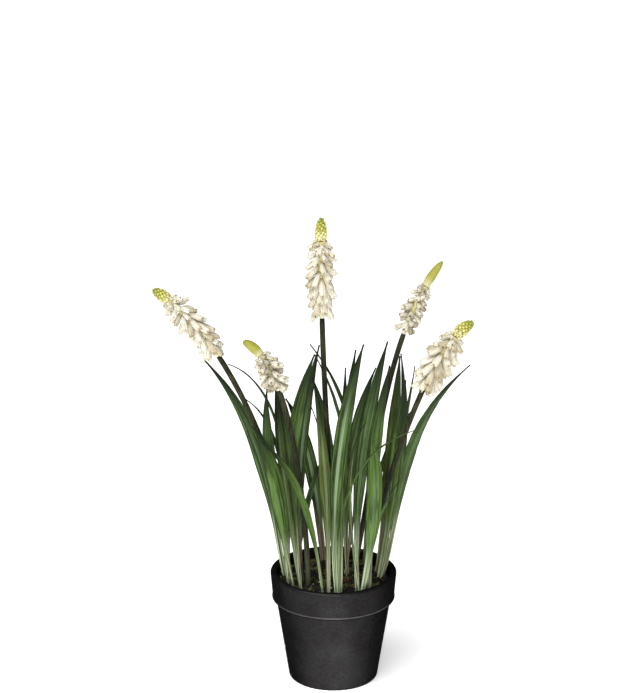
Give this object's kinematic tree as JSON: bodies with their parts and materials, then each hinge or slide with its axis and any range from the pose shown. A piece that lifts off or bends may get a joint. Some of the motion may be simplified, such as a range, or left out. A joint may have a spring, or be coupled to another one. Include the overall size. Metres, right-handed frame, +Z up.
{
  "type": "potted grape hyacinth",
  "caption": "Artificial white grape hyacinth: flower spikes with green bud tips and arching grassy leaves, standing in dark crumbs in a round black plastic pot.",
  "frame": {"origin": "centre of the flat underside of the pot", "axes": "+Z up, +X to the right and -Y towards the viewer as the picture shows the plant"},
  "size_m": [0.1949, 0.111, 0.302],
  "materials": {
    "pot": "matt with a soft sheen",
    "fill": "matt, porous",
    "soil": "rough crumbs",
    "stem": "satin",
    "floret": "soft satin",
    "bud": "soft satin",
    "leaf": "soft satin"
  },
  "bodies": {
    "root": {"pot": "pot", "fill_block": "fill", "soil_crust": "soil", "stem_centre": "stem", "bloom_centre": "floret", "buds_centre": "bud", "stem_left": "stem", "bloom_left": "floret", "buds_left": "bud", "stem_low_left": "stem", "bloom_low_left": "floret", "buds_low_left": "bud", "stem_high_right": "stem", "bloom_high_right": "floret", "buds_high_right": "bud", "stem_right": "stem", "bloom_right": "floret", "buds_right": "bud", "leaves_far_left": "leaf", "leaves_left_front": "leaf", "leaves_left_inner": "leaf", "leaves_left_middle": "leaf", "leaves_back_left": "leaf", "leaves_front_left": "leaf", "leaves_front_centre": "leaf", "leaves_centre": "leaf", "leaves_right_front": "leaf", "leaves_right_inner": "leaf", "leaves_right_middle": "leaf", "leaves_far_right": "leaf", "leaves_back_centre": "leaf", "leaves_back_right": "leaf", "leaves_back_far_left": "leaf"}
  },
  "joints": []
}
